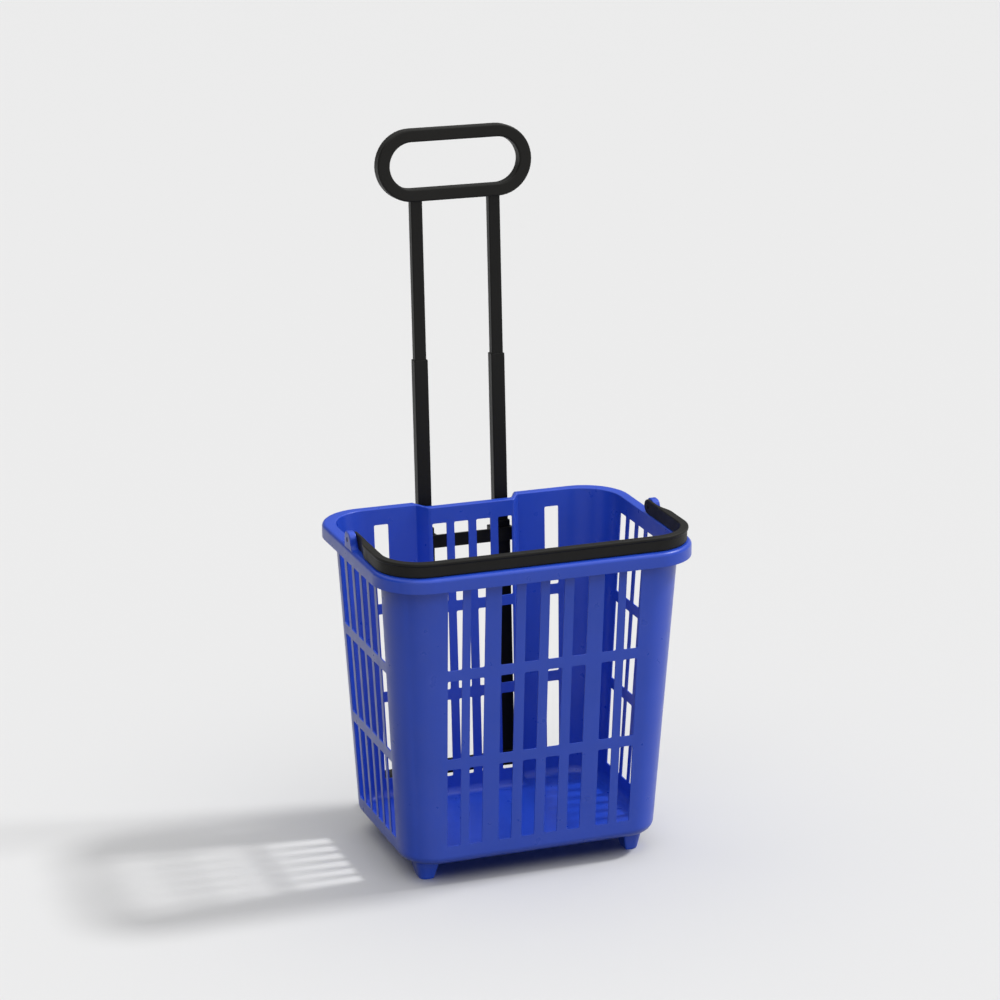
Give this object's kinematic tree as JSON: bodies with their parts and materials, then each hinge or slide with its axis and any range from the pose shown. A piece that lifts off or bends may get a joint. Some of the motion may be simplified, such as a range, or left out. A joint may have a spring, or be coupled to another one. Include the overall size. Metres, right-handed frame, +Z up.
{
  "type": "rolling shopping basket",
  "caption": "Slotted plastic shopping basket on rear wheels and front feet, with a hinged carry handle and a telescopic pull handle.",
  "frame": {"origin": "on the floor, under the middle of the whole outline, with the pull handle extended", "axes": "+Z up, front of the basket towards -Y, pull handle and wheels at +Y, +X to the right seen from the front camera side"},
  "size_m": [0.421, 0.361, 0.9051],
  "materials": {
    "basket_plastic": "satin moulded",
    "black_plastic": "satin moulded",
    "black_tube": "black anodised",
    "steel": "zinc plated",
    "tyre": "soft moulded"
  },
  "bodies": {
    "basket": {"basket_shell": "basket_plastic", "outer_tube_left": "black_tube", "outer_tube_right": "black_tube", "outer_bush_left": "black_plastic", "outer_bush_right": "black_plastic", "upper_crossbar": "black_plastic", "lower_crossbar": "black_plastic", "crossbar_screws": "steel", "wheel_axle": "steel", "axle_cap_left": "black_plastic", "axle_cap_right": "black_plastic", "handle_pin_left": "black_plastic", "handle_pin_right": "black_plastic"},
    "middle_stage": {"middle_tube_left": "black_tube", "middle_tube_right": "black_tube", "middle_bush_left": "black_plastic", "middle_bush_right": "black_plastic", "middle_glide_left": "black_plastic", "middle_glide_right": "black_plastic"},
    "grip_stage": {"inner_tube_left": "black_tube", "inner_tube_right": "black_tube", "inner_glide_left": "black_plastic", "inner_glide_right": "black_plastic", "grip": "black_plastic", "grip_screws": "steel"},
    "carry_handle": {"carry_handle": "black_plastic"},
    "wheel_left": {"wheel_hub_left": "black_plastic", "wheel_tyre_left": "tyre"},
    "wheel_right": {"wheel_hub_right": "black_plastic", "wheel_tyre_right": "tyre"}
  },
  "joints": [
    {"name": "middle_stage_slide", "type": "slide", "parent": "basket", "child": "middle_stage", "axis": [0, 0.0608, 0.9981], "range_m": [-0.205, 0]},
    {"name": "grip_stage_slide", "type": "slide", "parent": "middle_stage", "child": "grip_stage", "axis": [0, 0.0608, 0.9981], "range_m": [-0.183, 0]},
    {"name": "carry_handle_hinge", "type": "hinge", "parent": "basket", "child": "carry_handle", "pos_m": [0, -0.01952, 0.4297], "axis": [-1, 0, 0], "range_deg": [0, 150]},
    {"name": "wheel_left_spin", "type": "hinge", "parent": "basket", "child": "wheel_left", "pos_m": [-0.106, 0.13198, 0.025], "axis": [1, 0, 0], "continuous": true},
    {"name": "wheel_right_spin", "type": "hinge", "parent": "basket", "child": "wheel_right", "pos_m": [0.106, 0.13198, 0.025], "axis": [1, 0, 0], "continuous": true}
  ]
}
